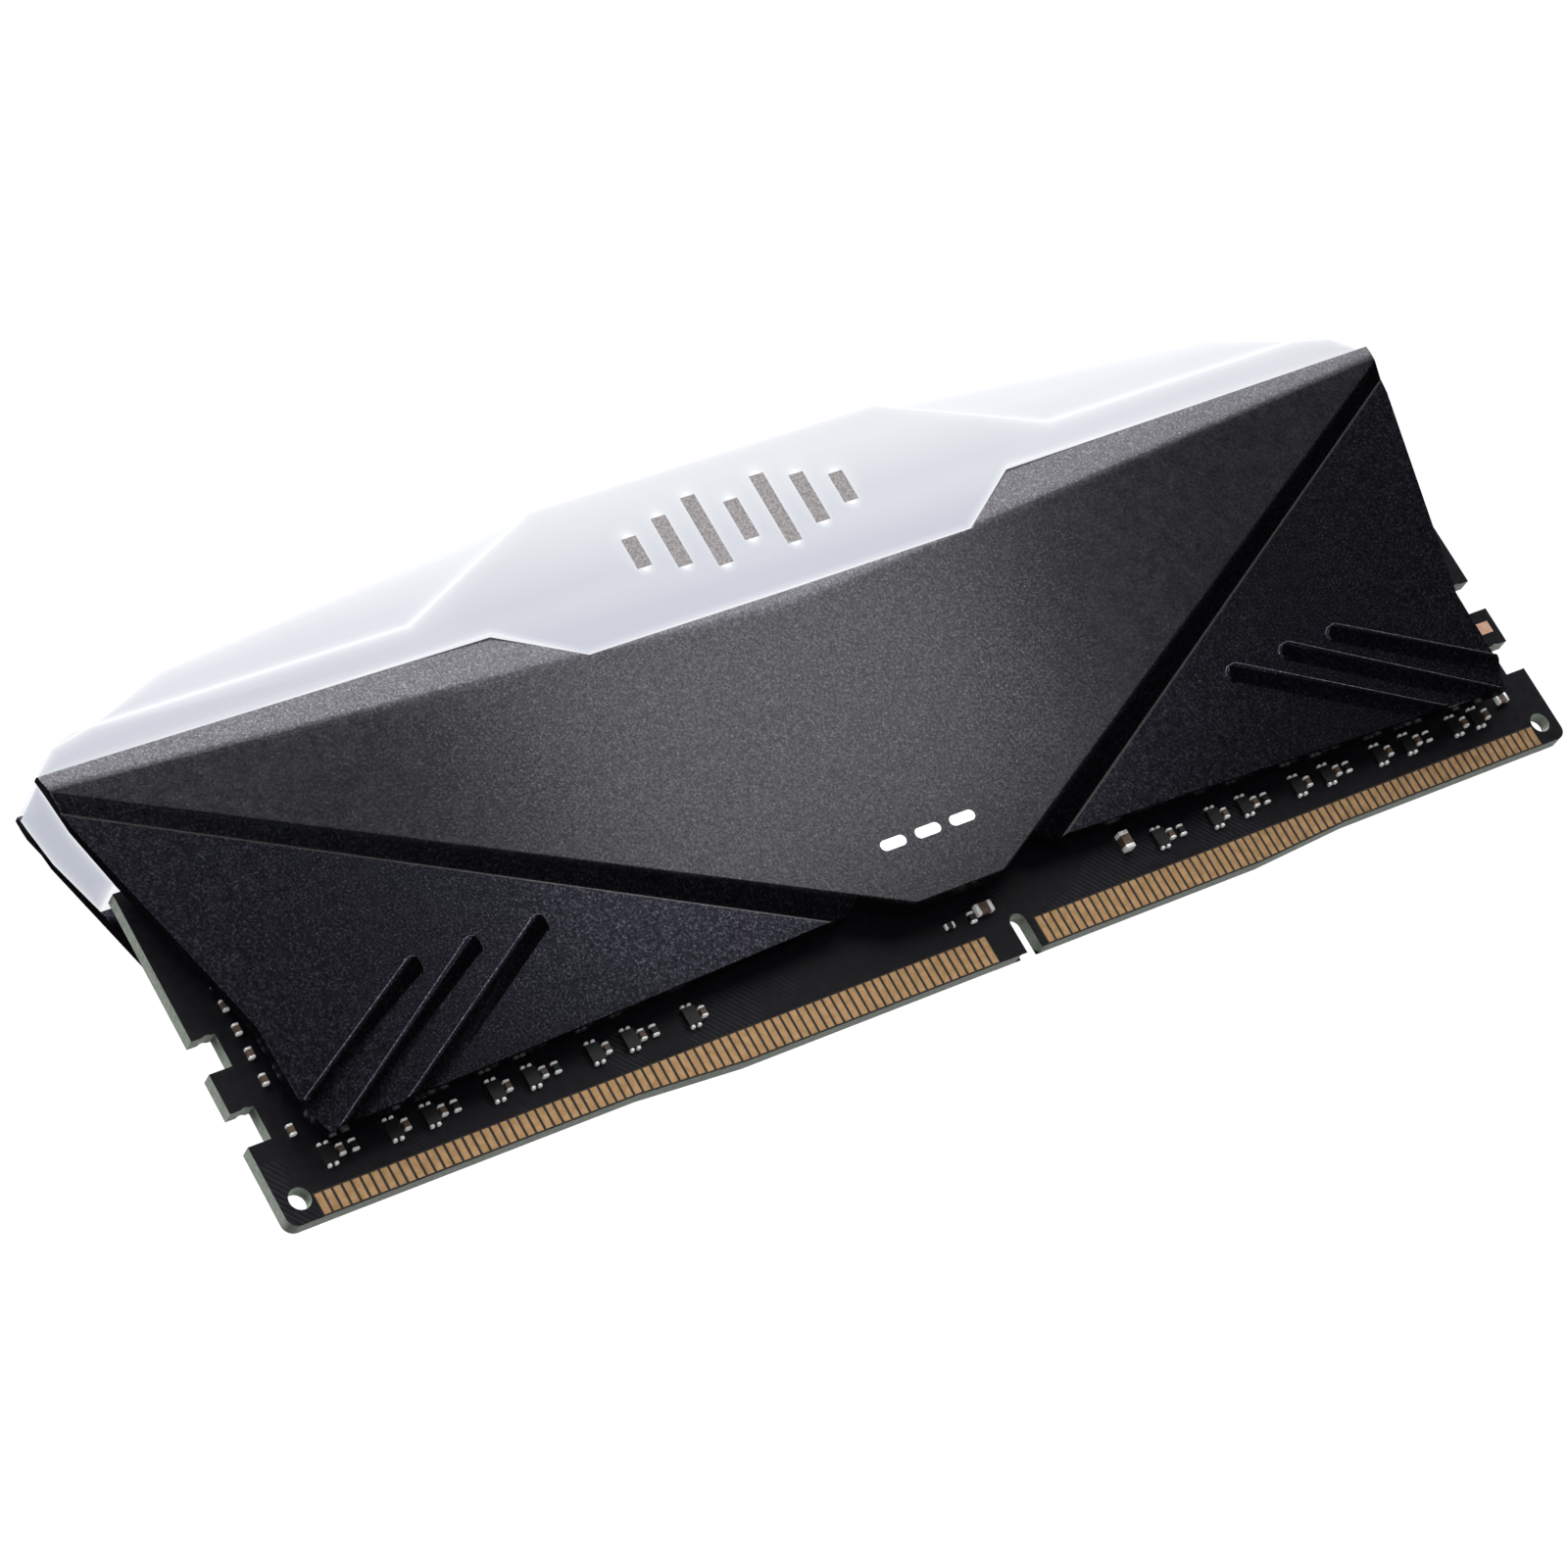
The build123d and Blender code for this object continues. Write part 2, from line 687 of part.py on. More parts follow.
# ---- light bar: a wedge between the spreaders and a wider part that shows above them ----
with BuildSketch() as bar_face:
    with BuildLine():
        Polyline(
            (bar_shoulder_x, bar_shoulder_z),
            (bar_knee_x, bar_knee_z),
            (bar_top_x, bar_top_z),
            (0, bar_top_z),
            (0, bar_bottom_z),
            (bar_bottom_x, bar_bottom_z),
            (side_top_x, side_top_z),
            (tip_x - bar_gap, tip_z),
        )
        ThreePointArc(
            (tip_x - bar_gap, tip_z),
            (tip_x - bar_end_round_x, tip_z + bar_end_round_z),
            (bar_shoulder_x, bar_shoulder_z),
        )
    make_face()

strip_plane = face_plane(
    front_point(shoulder_x, bar_strip_depth(shoulder_x), 0),
    front_point(tip_x, bar_strip_depth(tip_x), 0),
    front_point(shoulder_x, bar_strip_depth(shoulder_x), tip_z),
)
facet_plane = face_plane(
    front_point(bar_crease_low[0], bar_strip_depth(bar_crease_low[0]), bar_crease_low[1]),
    front_point(bar_shoulder_x, bar_strip_depth(bar_shoulder_x), bar_shoulder_z),
    front_point(bar_top_x, bar_facet_top_depth, bar_top_z),
)

with BuildPart() as bar_wedge:
    with BuildSketch(Plane.XZ):
        add(bar_face.sketch_local)
    extrude(amount=spreader_inner_top_depth)
    with BuildSketch(Plane.YZ):
        Polygon(
            (0, bar_bottom_z),
            (bar_gap - spreader_inner_depth, bar_bottom_z),
            (bar_gap - spreader_inner_top_depth, spreader_flare_z),
            (bar_gap - spreader_inner_top_depth, shoulder_z),
            (0, shoulder_z),
            align=None,
        )
    extrude(amount=board_length, mode=Mode.INTERSECT)

with BuildPart() as bar_facet_cut:
    with BuildSketch(Plane.XZ):
        Polygon(
            bar_crease_low,
            bar_crease_high,
            (bar_crease_high[0], bar_top_z + cut_room),
            (tip_x, bar_top_z + cut_room),
            (tip_x, tip_z),
            (bar_crease_low[0], tip_z),
            align=None,
        )
    extrude(amount=2 * panel_depth)
    split(bisect_by=facet_plane, keep=Keep.TOP)

with BuildPart() as bar_crown:
    with BuildSketch(Plane.XZ):
        add(bar_face.sketch_local)
        offset(spreader_face.sketch_local, amount=bar_gap, mode=Mode.SUBTRACT)
    extrude(amount=bar_panel_depth)
    split(bisect_by=strip_plane, keep=Keep.BOTTOM)
    add(bar_facet_cut.part, mode=Mode.SUBTRACT)

with BuildPart() as light_bar:
    add(bar_wedge.part)
    add(bar_crown.part)
    with BuildSketch(Plane.XY.offset(bar_bottom_z)):
        Rectangle(led_channel_length, led_channel_width / 2, align=(Align.MIN, Align.MAX))
    extrude(amount=led_channel_height, mode=Mode.SUBTRACT)
    mirror(about=Plane.YZ)
    mirror(about=Plane.XZ)
    add(emblem_front.part, mode=Mode.SUBTRACT)
    add(emblem_rear.part, mode=Mode.SUBTRACT)
finish(light_bar, "light_bar")
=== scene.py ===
# %% [markdown]
# A desktop memory module, dressed for its portrait.
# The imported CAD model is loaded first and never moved. Everything below either gives one of its
# nodes a proper finish, or adds a piece that stands in for a plain one.

# %% Load the fixed frame
import json
import math

import bpy
from mathutils import Matrix, Vector

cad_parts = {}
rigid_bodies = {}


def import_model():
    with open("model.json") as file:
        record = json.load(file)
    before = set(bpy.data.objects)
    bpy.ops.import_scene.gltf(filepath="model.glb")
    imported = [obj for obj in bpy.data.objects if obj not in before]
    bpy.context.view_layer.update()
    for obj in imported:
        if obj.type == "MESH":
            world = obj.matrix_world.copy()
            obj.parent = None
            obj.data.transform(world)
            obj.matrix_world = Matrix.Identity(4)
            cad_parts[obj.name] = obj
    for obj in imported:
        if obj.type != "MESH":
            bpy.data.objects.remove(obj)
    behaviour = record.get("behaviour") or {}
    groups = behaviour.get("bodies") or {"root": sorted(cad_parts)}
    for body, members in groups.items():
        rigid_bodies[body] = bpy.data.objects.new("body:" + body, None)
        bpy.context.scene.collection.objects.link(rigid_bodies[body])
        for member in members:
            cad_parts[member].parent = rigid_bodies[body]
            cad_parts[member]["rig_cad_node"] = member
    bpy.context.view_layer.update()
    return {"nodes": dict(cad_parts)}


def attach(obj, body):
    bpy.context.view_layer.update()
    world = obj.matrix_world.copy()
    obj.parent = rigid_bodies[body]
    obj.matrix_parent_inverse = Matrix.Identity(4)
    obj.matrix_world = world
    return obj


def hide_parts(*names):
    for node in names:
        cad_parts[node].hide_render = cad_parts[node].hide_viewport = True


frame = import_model()
nodes = frame["nodes"]
MM = 0.001
print("nodes in the frame:", len(nodes))

# %% [markdown]
# The module is seen from low on its left, with the long axis running up to the right. A long
# lens keeps the far end nearly as tall as the near end. The camera is written as three
# directions, because a look-at constraint would lose the slight roll.

# %% Camera
VIEW_RIGHT = Vector((0.8050, -0.3455, -0.4823))
VIEW_UP = Vector((0.2860, -0.4860, 0.8258))
VIEW_BACK = VIEW_RIGHT.cross(VIEW_UP).normalized()
CAMERA_PLACE = Vector((-0.230455, -0.344428, -0.103958))
LENS_MM = 118.42

camera_data = bpy.data.cameras.new("portrait_camera")
camera_data.lens = LENS_MM
camera_data.sensor_width = 36.0
camera_data.clip_start = 0.01
camera = bpy.data.objects.new("portrait_camera", camera_data)
bpy.context.scene.collection.objects.link(camera)
turn = Matrix((VIEW_RIGHT, VIEW_UP, VIEW_BACK)).transposed().to_4x4()
camera.matrix_world = Matrix.Translation(CAMERA_PLACE) @ turn
bpy.context.scene.camera = camera
bpy.context.scene.view_settings.view_transform = "Standard"
print("camera looks along", tuple(round(v, 3) for v in -VIEW_BACK))


# %% [markdown]
# The stage is a pale floor well below the module, a white surround and soft lamps. The surround
# is bright only to the eye: the light it gives comes mostly from above, so that faces turned
# downwards stay dark, as they do under real studio lamps.

# %% Stage
FLOOR_DROP = 0.16
FLOOR_SIZE = 6.0


def deselect_all():
    if bpy.context.object and bpy.context.object.mode != "OBJECT":
        bpy.ops.object.mode_set(mode="OBJECT")
    bpy.ops.object.select_all(action="DESELECT")


def new_material(name):
    """A new node material, its node tree and its Principled shader."""
    material = bpy.data.materials.new(name)
    material.use_nodes = True
    tree = material.node_tree
    shader = tree.nodes["Principled BSDF"]
    return material, tree, shader


deselect_all()
bpy.ops.mesh.primitive_plane_add(size=FLOOR_SIZE, location=(0, 0, -FLOOR_DROP))
floor = bpy.context.object
floor.name = "floor"
floor_material, _, floor_shader = new_material("floor_paint")
floor_shader.inputs["Base Color"].default_value = (0.86, 0.86, 0.87, 1)
floor_shader.inputs["Roughness"].default_value = 0.9
floor.data.materials.append(floor_material)
floor.visible_glossy = False
floor.visible_diffuse = False
floor.visible_shadow = False

SKY_STOPS = (
    (0.00, 0.00),
    (0.50, 0.004),
    (0.62, 0.016),
    (0.71, 0.05),
    (0.775, 3.40),
    (1.00, 3.40),
)
SURROUND_SEEN = 1.05

world = bpy.data.worlds.new("surround")
world.use_nodes = True
bpy.context.scene.world = world
links = world.node_tree.links
sky_nodes = world.node_tree.nodes
background = sky_nodes["Background"]
light_path = sky_nodes.new("ShaderNodeLightPath")
coordinates = sky_nodes.new("ShaderNodeTexCoord")
split_up = sky_nodes.new("ShaderNodeSeparateXYZ")
height_share = sky_nodes.new("ShaderNodeMapRange")
height_share.inputs["From Min"].default_value = -1.0
sky_ramp = sky_nodes.new("ShaderNodeValToRGB")
for index, (position, level) in enumerate(SKY_STOPS):
    stops = sky_ramp.color_ramp.elements
    stop = stops[index] if index < 2 else stops.new(position)
    stop.position = position
    stop.color = (level, level, level, 1)
choose = sky_nodes.new("ShaderNodeMix")
choose.data_type = "RGBA"
choose.inputs["B"].default_value = (SURROUND_SEEN, SURROUND_SEEN, SURROUND_SEEN, 1)
links.new(coordinates.outputs["Generated"], split_up.inputs[0])
links.new(split_up.outputs["Z"], height_share.inputs["Value"])
links.new(height_share.outputs["Result"], sky_ramp.inputs["Fac"])
links.new(light_path.outputs["Is Camera Ray"], choose.inputs["Factor"])
links.new(sky_ramp.outputs["Color"], choose.inputs["A"])
links.new(choose.outputs["Result"], background.inputs["Color"])


def area_lamp(name, place, size, energy, target=(0, 0, 0.025)):
    """A soft square lamp that faces the module."""
    lamp_data = bpy.data.lights.new(name, "AREA")
    lamp_data.size = size
    lamp_data.energy = energy
    lamp = bpy.data.objects.new(name, lamp_data)
    bpy.context.scene.collection.objects.link(lamp)
    direction = Vector(target) - Vector(place)
    turned = direction.to_track_quat("-Z", "Y").to_matrix().to_4x4()
    lamp.matrix_world = Matrix.Translation(place) @ turned
    lamp.visible_camera = False
    return lamp


area_lamp("near_lamp", (0.060, -0.105, 0.070), 0.055, 0.014, target=(0.004, 0, 0.030))
area_lamp("back_lamp", (0.1, 0.5, 0.5), 0.5, 2.0)
left_fill = area_lamp("left_fill", (-0.55, -0.55, -0.36), 0.6, 1.2)
left_fill.visible_diffuse = False
area_lamp("front_fill", (-0.30, -0.85, -0.02), 0.5, 0.9)
area_lamp("rear_fill", (0.40, 0.80, -0.22), 1.1, 6.0)
under_lamp = area_lamp("under_lamp", (-0.1, -0.25, -0.35), 0.3, 0.65)
under_lamp.visible_glossy = False


# %% [markdown]
# Finishes. Each one is a small node tree on Object coordinates, so a pattern stays put on the
# piece. `object_noise` and `mix_colors` are the two bricks they are built from.

# %% Material helpers
def object_noise(tree, scale, detail=2.0, roughness=0.5):
    """A noise value laid out in the piece's own metres."""
    place = tree.nodes.new("ShaderNodeTexCoord")
    texture = tree.nodes.new("ShaderNodeTexNoise")
    texture.inputs["Scale"].default_value = scale
    texture.inputs["Detail"].default_value = detail
    texture.inputs["Roughness"].default_value = roughness
    tree.links.new(place.outputs["Object"], texture.inputs["Vector"])
    return texture.outputs["Fac"]


def color_ramp(tree, value, stops):
    """Turn a value into a colour by (position, colour) stops."""
    node = tree.nodes.new("ShaderNodeValToRGB")
    ramp_elements = node.color_ramp.elements
    ramp_elements[0].position, ramp_elements[0].color = stops[0][0], (*stops[0][1], 1)
    ramp_elements[1].position, ramp_elements[1].color = stops[-1][0], (*stops[-1][1], 1)
    for position, color in stops[1:-1]:
        element = ramp_elements.new(position)
        element.color = (*color, 1)
    tree.links.new(value, node.inputs["Fac"])
    return node.outputs["Color"]


def mix_colors(tree, share, first, second):
    """Go from one colour to another as a share grows from 0 to 1; each is a socket or fixed."""
    node = tree.nodes.new("ShaderNodeMix")
    node.data_type = "RGBA"
    tree.links.new(share, node.inputs["Factor"])
    for socket, color in ((node.inputs["A"], first), (node.inputs["B"], second)):
        if isinstance(color, tuple):
            socket.default_value = (*color, 1)
        else:
            tree.links.new(color, socket)
    return node.outputs["Result"]


def value_range(tree, value, low, high, from_low=0.3, from_high=0.7):
    """Stretch a noise value to the range low..high."""
    node = tree.nodes.new("ShaderNodeMapRange")
    node.inputs["From Min"].default_value = from_low
    node.inputs["From Max"].default_value = from_high
    node.inputs["To Min"].default_value = low
    node.inputs["To Max"].default_value = high
    tree.links.new(value, node.inputs["Value"])
    return node.outputs["Result"]


def add_bump(tree, shader, value, height):
    """Raise the surface by a value, up to a height in metres."""
    node = tree.nodes.new("ShaderNodeBump")
    node.inputs["Strength"].default_value = 1.0
    node.inputs["Distance"].default_value = height
    tree.links.new(value, node.inputs["Height"])
    tree.links.new(node.outputs["Normal"], shader.inputs["Normal"])


def dress(material, *names):
    """Give CAD nodes a finish through their material slots."""
    for name in names:
        piece = nodes[name]
        if not piece.material_slots:
            piece.data.materials.append(material)
        for slot in piece.material_slots:
            slot.material = material


# %% [markdown]
# The light bar is one moulding of opal plastic. Its emission is painted light, standing in for the light
# it picks up from the surround, brighter upwards and a little to the right; each crease and border shows a
# soft bright line that is a painted highlight. The finish measures how far a point lies from the bar's
# border and crease lines, and adds the painted highlight close to them.
# Painting the lines by hand would not follow the shape as exactly.

# %% Distance to lines
def folded_place(tree):
    """Object coordinates folded onto one quarter: |x|, |y| and z."""
    place = tree.nodes.new("ShaderNodeTexCoord")
    parts = tree.nodes.new("ShaderNodeSeparateXYZ")
    tree.links.new(place.outputs["Object"], parts.inputs[0])
    folded = []
    for axis in ("X", "Y"):
        size = tree.nodes.new("ShaderNodeMath")
        size.operation = "ABSOLUTE"
        tree.links.new(parts.outputs[axis], size.inputs[0])
        folded.append(size.outputs[0])
    return folded[0], folded[1], parts.outputs["Z"]


def vector_step(tree, operation, first, second):
    """One vector operation; the second operand is a socket or a fixed vector."""
    node = tree.nodes.new("ShaderNodeVectorMath")
    node.operation = operation
    tree.links.new(first, node.inputs[0])
    if isinstance(second, Vector):
        node.inputs[1].default_value = second
    elif second is not None:
        tree.links.new(second, node.inputs[1])
    return node


def distance_to_segment(tree, point, start, end):
    """Distance in metres from a point socket to the segment between two 2-D points in mm."""
    base = Vector((start[0], start[1], 0)) * MM
    run = Vector((end[0], end[1], 0)) * MM - base
    offset = vector_step(tree, "SUBTRACT", point, base).outputs["Vector"]
    along = vector_step(tree, "DOT_PRODUCT", offset, run / run.length_squared).outputs["Value"]
    share = tree.nodes.new("ShaderNodeClamp")
    tree.links.new(along, share.inputs["Value"])
    spread = tree.nodes.new("ShaderNodeCombineXYZ")
    for axis in ("X", "Y", "Z"):
        tree.links.new(share.outputs["Result"], spread.inputs[axis])
    reached = vector_step(tree, "MULTIPLY", spread.outputs["Vector"], run).outputs["Vector"]
    rest = vector_step(tree, "SUBTRACT", offset, reached).outputs["Vector"]
    return vector_step(tree, "LENGTH", rest, None).outputs["Value"]


def distance_to_lines(tree, across, up, lines):
    """Least distance to several chains of points, in the plane of two coordinates."""
    flat = tree.nodes.new("ShaderNodeCombineXYZ")
    tree.links.new(across, flat.inputs["X"])
    tree.links.new(up, flat.inputs["Y"])
    least = None
    for chain in lines:
        for start, end in zip(chain, chain[1:]):
            distance = distance_to_segment(tree, flat.outputs["Vector"], start, end)
            if least is None:
                least = distance
                continue
            lower = tree.nodes.new("ShaderNodeMath")
            lower.operation = "MINIMUM"
            tree.links.new(least, lower.inputs[0])
            tree.links.new(distance, lower.inputs[1])
            least = lower.outputs[0]
    return least


# %% [markdown]
# The heat spreaders are aluminium with a speckled powder coat. The wings and the slope below the rim get a
# darker, bluer colour than the raised panel, which is painted shade, and a thin paler line where the wing
# meets the groove under the rim is a painted highlight.

# %% Powder coat on the heat spreaders
FOOT_LINE = ((10.26, 6.66), (69.59, 38.37))
PAINTED_HIGHLIGHT_WIDTH = 0.16
COAT_GRAIN = 4800
COAT_PATCHES = 900
COAT_BUMP = 0.000002
RIM_RISE = 0.519            # slope of the raised panel's lower rim
RIM_BASE_Z = 3.9            # height at which the rim's line would meet the middle, in millimetres


def panel_share_against_painted_shade(tree):
    """1 on the raised panel and its bevel, 0 on the wings and on the slope below the rim, which get the
    painted shade.
    """
    place = tree.nodes.new("ShaderNodeTexCoord")
    parts = tree.nodes.new("ShaderNodeSeparateXYZ")
    tree.links.new(place.outputs["Object"], parts.inputs[0])
    sideways = tree.nodes.new("ShaderNodeMath")
    sideways.operation = "ABSOLUTE"
    tree.links.new(parts.outputs["X"], sideways.inputs[0])
    rim = tree.nodes.new("ShaderNodeMath")
    rim.operation = "MULTIPLY_ADD"
    tree.links.new(sideways.outputs[0], rim.inputs[0])
    rim.inputs[1].default_value = -RIM_RISE
    tree.links.new(parts.outputs["Z"], rim.inputs[2])
    edge = tree.nodes.new("ShaderNodeMapRange")
    edge.inputs["From Min"].default_value = (RIM_BASE_Z - 0.4) * MM
    edge.inputs["From Max"].default_value = (RIM_BASE_Z + 0.3) * MM
    tree.links.new(rim.outputs[0], edge.inputs["Value"])
    return edge.outputs["Result"]


def make_powder_coat():
    material, tree, shader = new_material("speckled_powder_coat")
    grain = object_noise(tree, COAT_GRAIN, 2.0, 0.8)
    panel_color = color_ramp(tree, grain, (
        (0.34, (0.048, 0.047, 0.053)),
        (0.50, (0.078, 0.076, 0.085)),
        (0.62, (0.114, 0.111, 0.123)),
        (0.74, (0.190, 0.186, 0.204)),
    ))
    # Painted shade: the wings and the slope below the rim take this darker, bluer colour in place of the
    # panel's.
    painted_shade_wing_color = color_ramp(tree, grain, (
        (0.34, (0.014, 0.014, 0.021)),
        (0.50, (0.030, 0.030, 0.041)),
        (0.60, (0.062, 0.062, 0.082)),
        (0.72, (0.170, 0.170, 0.215)),
    ))
    color = mix_colors(tree, panel_share_against_painted_shade(tree), painted_shade_wing_color, panel_color)
    across, _, up = folded_place(tree)
    from_foot = distance_to_lines(tree, across, up, (FOOT_LINE,))
    # Painted highlight: a thin paler line along the groove's outer edge, where the wing's edge would catch
    # the light.
    painted_highlight = value_range(tree, from_foot, 1.0, 0.0, 0.5 * PAINTED_HIGHLIGHT_WIDTH * MM, PAINTED_HIGHLIGHT_WIDTH * MM)
    painted_highlight_color = color_ramp(tree, grain, ((0.3, (0.10, 0.09, 0.095)), (0.7, (0.16, 0.15, 0.155))))
    color = mix_colors(tree, painted_highlight, color, painted_highlight_color)
    tree.links.new(color, shader.inputs["Base Color"])
    shader.inputs["Metallic"].default_value = 0.95
    patches = object_noise(tree, COAT_PATCHES, 2.0)
    tree.links.new(value_range(tree, patches, 0.23, 0.27), shader.inputs["Roughness"])
    add_bump(tree, shader, grain, COAT_BUMP)
    return material


powder_coat = make_powder_coat()
print("finish:", powder_coat.name)


# %% [markdown]
# The border and crease lines below are the light bar's own corners, in millimetres of the shared
# frame. The front view has |x| and z, and the end view |y| and z.

# %% Opal plastic
BAR_BORDER = ((0, 36.5), (20.0, 36.5), (27.0, 41.0), (69.1, 41.4), (66.5, 43.6), (62.5, 44.4))
BAR_TOP = ((62.5, 44.4), (54.7, 47.4), (20.5, 50.5), (0, 50.5))
BAR_CREASE = ((62.5, 44.4), (33.4, 44.0), (18.2, 50.4))
BAR_END_BORDER = ((2.27, 31.3), (2.9, 40.0), (2.9, 41.4))
BAR_END_FOOT = ((0, 31.3), (2.27, 31.3))
EDGE_HIGHLIGHT_REACH = 1.7
PAINTED_GLOW_RUN = (4.0, 0.0, 100.0)    # how fast the painted glow grows for each metre along X and up Z
PAINTED_GLOW_START = 3.85               # where the painted glow starts, so that it is full 10 mm higher up
BAR_MARKS = (
    ((0, 42.1), (0, 45.9)),
    ((3.6, 40.6), (3.6, 47.4)),
    ((7.2, 41.6), (7.2, 46.4)),
    ((10.8, 42.6), (10.8, 45.4)),
)
MARK_HALF_WIDTH = 0.35


def make_opal(name, low, high, edge, body):
    """Milky plastic whose emission is painted light, with painted highlights along its border and creases.
    """
    material, tree, shader = new_material(name)
    place = tree.nodes.new("ShaderNodeTexCoord")
    # Painted light: the emission colour grows from low to high upwards and a little to the right, standing
    # in for light from the surround.
    slope = vector_step(tree, "DOT_PRODUCT", place.outputs["Object"], Vector(PAINTED_GLOW_RUN))
    share = value_range(tree, slope.outputs["Value"], 0.0, 1.0, PAINTED_GLOW_START, PAINTED_GLOW_START + 1.0)
    painted_glow = color_ramp(tree, share, ((0.0, low), (1.0, high)))
    across, deep, up = folded_place(tree)
    front = distance_to_lines(tree, across, up, (BAR_BORDER, BAR_TOP, BAR_CREASE))
    end = distance_to_lines(tree, deep, up, (BAR_END_BORDER, BAR_END_FOOT))
    nearest = tree.nodes.new("ShaderNodeMath")
    nearest.operation = "MINIMUM"
    tree.links.new(front, nearest.inputs[0])
    tree.links.new(end, nearest.inputs[1])
    beside_marks = tree.nodes.new("ShaderNodeMath")
    beside_marks.operation = "SUBTRACT"
    tree.links.new(distance_to_lines(tree, across, up, BAR_MARKS), beside_marks.inputs[0])
    beside_marks.inputs[1].default_value = MARK_HALF_WIDTH * MM
    least = tree.nodes.new("ShaderNodeMath")
    least.operation = "MINIMUM"
    tree.links.new(nearest.outputs[0], least.inputs[0])
    tree.links.new(beside_marks.outputs[0], least.inputs[1])
    # Painted highlight: the emission turns to the edge colour close to the borders, creases and inlaid
    # marks.
    closeness = value_range(tree, least.outputs[0], 1.0, 0.0, 0.0, EDGE_HIGHLIGHT_REACH * MM)
    painted_edge_highlight = color_ramp(tree, closeness, (
        (0.0, (0, 0, 0)),
        (0.55, (0.10, 0.10, 0.10)),
        (0.82, (0.32, 0.32, 0.32)),
        (0.93, (0.62, 0.62, 0.62)),
        (1.0, (0.92, 0.92, 0.92)),
    ))
    painted_light_color = mix_colors(tree, painted_edge_highlight, painted_glow, edge)
    tree.links.new(painted_light_color, shader.inputs["Emission Color"])
    shader.inputs["Emission Strength"].default_value = 1.0
    cloud = object_noise(tree, 60, 2.0)
    shade = color_ramp(tree, cloud, ((0.35, tuple(0.9 * c for c in body)), (0.65, body)))
    tree.links.new(shade, shader.inputs["Base Color"])
    shader.inputs["Roughness"].default_value = 0.42
    shader.inputs["Specular IOR Level"].default_value = 0.3
    shader.inputs["Subsurface Weight"].default_value = 0.25
    shader.inputs["Subsurface Radius"].default_value = (0.002, 0.002, 0.002)
    fine = object_noise(tree, 5000, 1.0)
    add_bump(tree, shader, fine, 0.000003)
    return material


opal = make_opal("opal_plastic", (0.46, 0.48, 0.55), (0.70, 0.72, 0.745), (0.93, 0.94, 0.96),
                 (0.10, 0.10, 0.11))


# %% [markdown]
# The CAD solids have knife-sharp edges. Copies of the light bar and the spreaders get rounded
# ones with the Bevel modifier. It only works on edges that are given a weight, because the inlaid
# marks and the groove below the rim are shallower than the rounding.

# %% Rounded copies
MERGE_DISTANCE = 0.000002
FLAT_ANGLE = 0.4            # faces that meet at less than this, in degrees, are one flat face
SMOOTH_ANGLE = 35
ROUNDING_SEGMENTS = 2
BIG_FACE_WEIGHT = 100       # how strongly a large flat face keeps its own shading


def copy_node(name, new_name):
    """A copy of a CAD node with its loose triangles joined into clean faces."""
    deselect_all()
    source = nodes[name]
    bpy.context.view_layer.objects.active = source
    source.select_set(True)
    bpy.ops.object.duplicate()
    piece = bpy.context.object
    piece.name = new_name
    del piece["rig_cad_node"]
    piece.data.materials.clear()
    bpy.ops.mesh.customdata_custom_splitnormals_clear()
    bpy.ops.object.mode_set(mode="EDIT")
    bpy.ops.mesh.select_all(action="SELECT")
    bpy.ops.mesh.remove_doubles(threshold=MERGE_DISTANCE)
    bpy.ops.mesh.dissolve_limited(angle_limit=math.radians(FLAT_ANGLE))
    bpy.ops.object.mode_set(mode="OBJECT")
    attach(piece, "root")
    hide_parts(name)
    return piece


def weigh_edges(piece, least_angle, is_kept):
    """Give a bevel weight to the sharp edges that a test keeps; the test takes mm and normals."""
    mesh = piece.data
    normals = {}
    for face in mesh.polygons:
        for key in face.edge_keys:
            normals.setdefault(key, []).append(face.normal.copy())
    weights = mesh.attributes.new("bevel_weight_edge", "FLOAT", "EDGE")
    count = 0
    for edge in mesh.edges:
        sides = normals.get(edge.key, [])
        if len(sides) != 2 or sides[0].angle(sides[1], 0) < least_angle:
            continue
        middle = (mesh.vertices[edge.vertices[0]].co + mesh.vertices[edge.vertices[1]].co) / (2 * MM)
        if is_kept(middle, sides):
            weights.data[edge.index].value = 1.0
            count += 1
    return count


def round_edges(piece, width, by_weight):
    """Round the weighted edges, or every edge of a plain block, and keep flat faces flat."""
    deselect_all()
    bpy.context.view_layer.objects.active = piece
    piece.select_set(True)
    rounding = piece.modifiers.new("rounded_edges", "BEVEL")
    rounding.width = width
    rounding.segments = ROUNDING_SEGMENTS
    rounding.limit_method = "WEIGHT" if by_weight else "ANGLE"
    rounding.use_clamp_overlap = not by_weight
    bpy.ops.object.modifier_apply(modifier=rounding.name)
    bpy.ops.object.shade_smooth_by_angle(angle=math.radians(SMOOTH_ANGLE))
    shading = piece.modifiers.new("flat_faces_stay_flat", "WEIGHTED_NORMAL")
    shading.mode = "FACE_AREA"
    shading.weight = BIG_FACE_WEIGHT
    shading.keep_sharp = True
    bpy.ops.object.modifier_apply(modifier=shading.name)


MARK_ROOM = 13.0            # half length of the area that holds the inlaid bars
MARKS_TOP = 48.5
BAR_SHOWS_ABOVE = 41.6      # below this only the bar's two ends show
BAR_CORE = 1.0              # edges nearer the middle plane than this belong to the lamp channel
BAR_ROUNDING = 0.09
BAR_SHARP_ANGLE = 40


def is_open_bar_edge(middle, _sides):
    outside_marks = abs(middle.x) > MARK_ROOM or middle.z > MARKS_TOP
    return outside_marks and middle.z > BAR_SHOWS_ABOVE and abs(middle.y) > BAR_CORE


